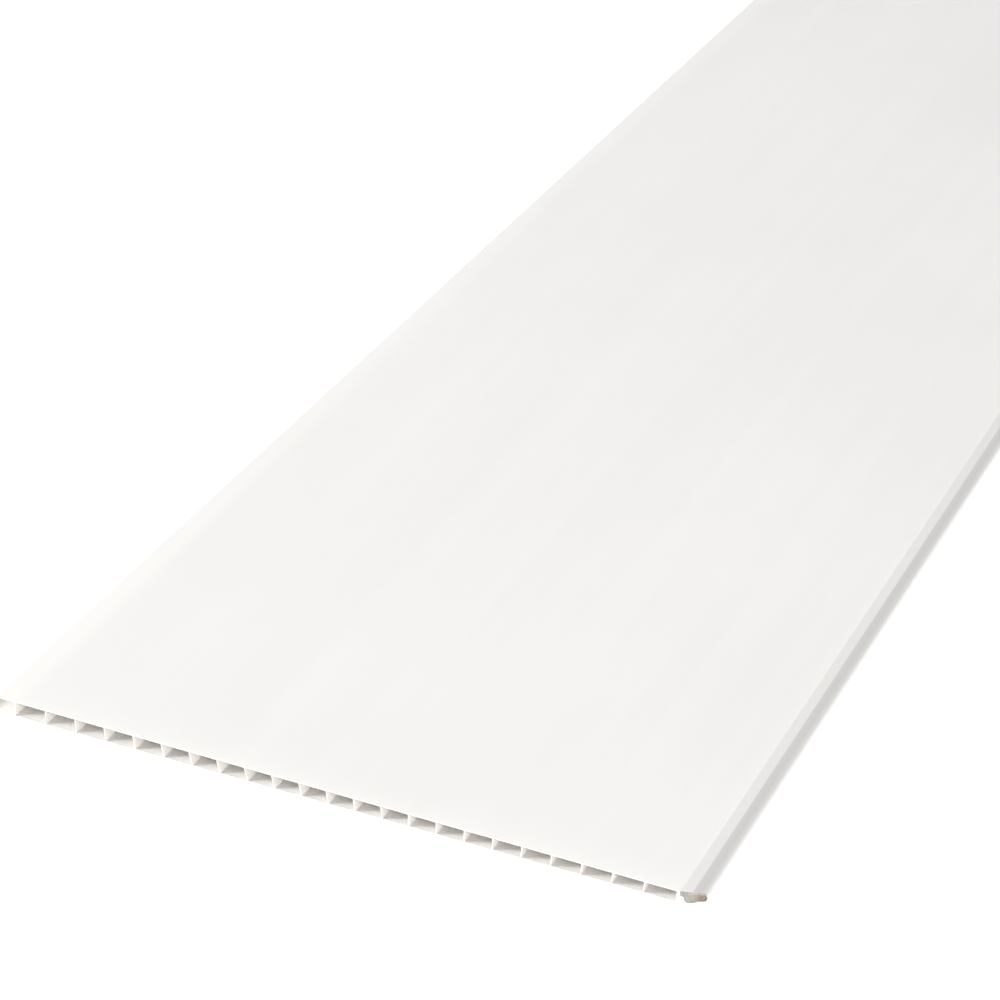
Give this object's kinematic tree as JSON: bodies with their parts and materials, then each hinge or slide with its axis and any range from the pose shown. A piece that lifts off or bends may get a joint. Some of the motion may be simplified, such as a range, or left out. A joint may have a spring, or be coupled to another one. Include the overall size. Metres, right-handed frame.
{
  "type": "pvc wall panel",
  "caption": "Hollow white PVC wall panel, a flat ribbed board with a groove along one long edge and a hollow rounded tongue along the other.",
  "frame": {"origin": "centre of the back of the panel's bounding box, with the panel lying face up", "axes": "+X across the width towards the tongue edge, +Y along the length away from the trimmed end, +Z out of the face"},
  "size_m": [0.388, 2.7, 0.008],
  "materials": {
    "white_pvc": "satin"
  },
  "bodies": {
    "root": {"panel": "white_pvc"}
  },
  "joints": []
}
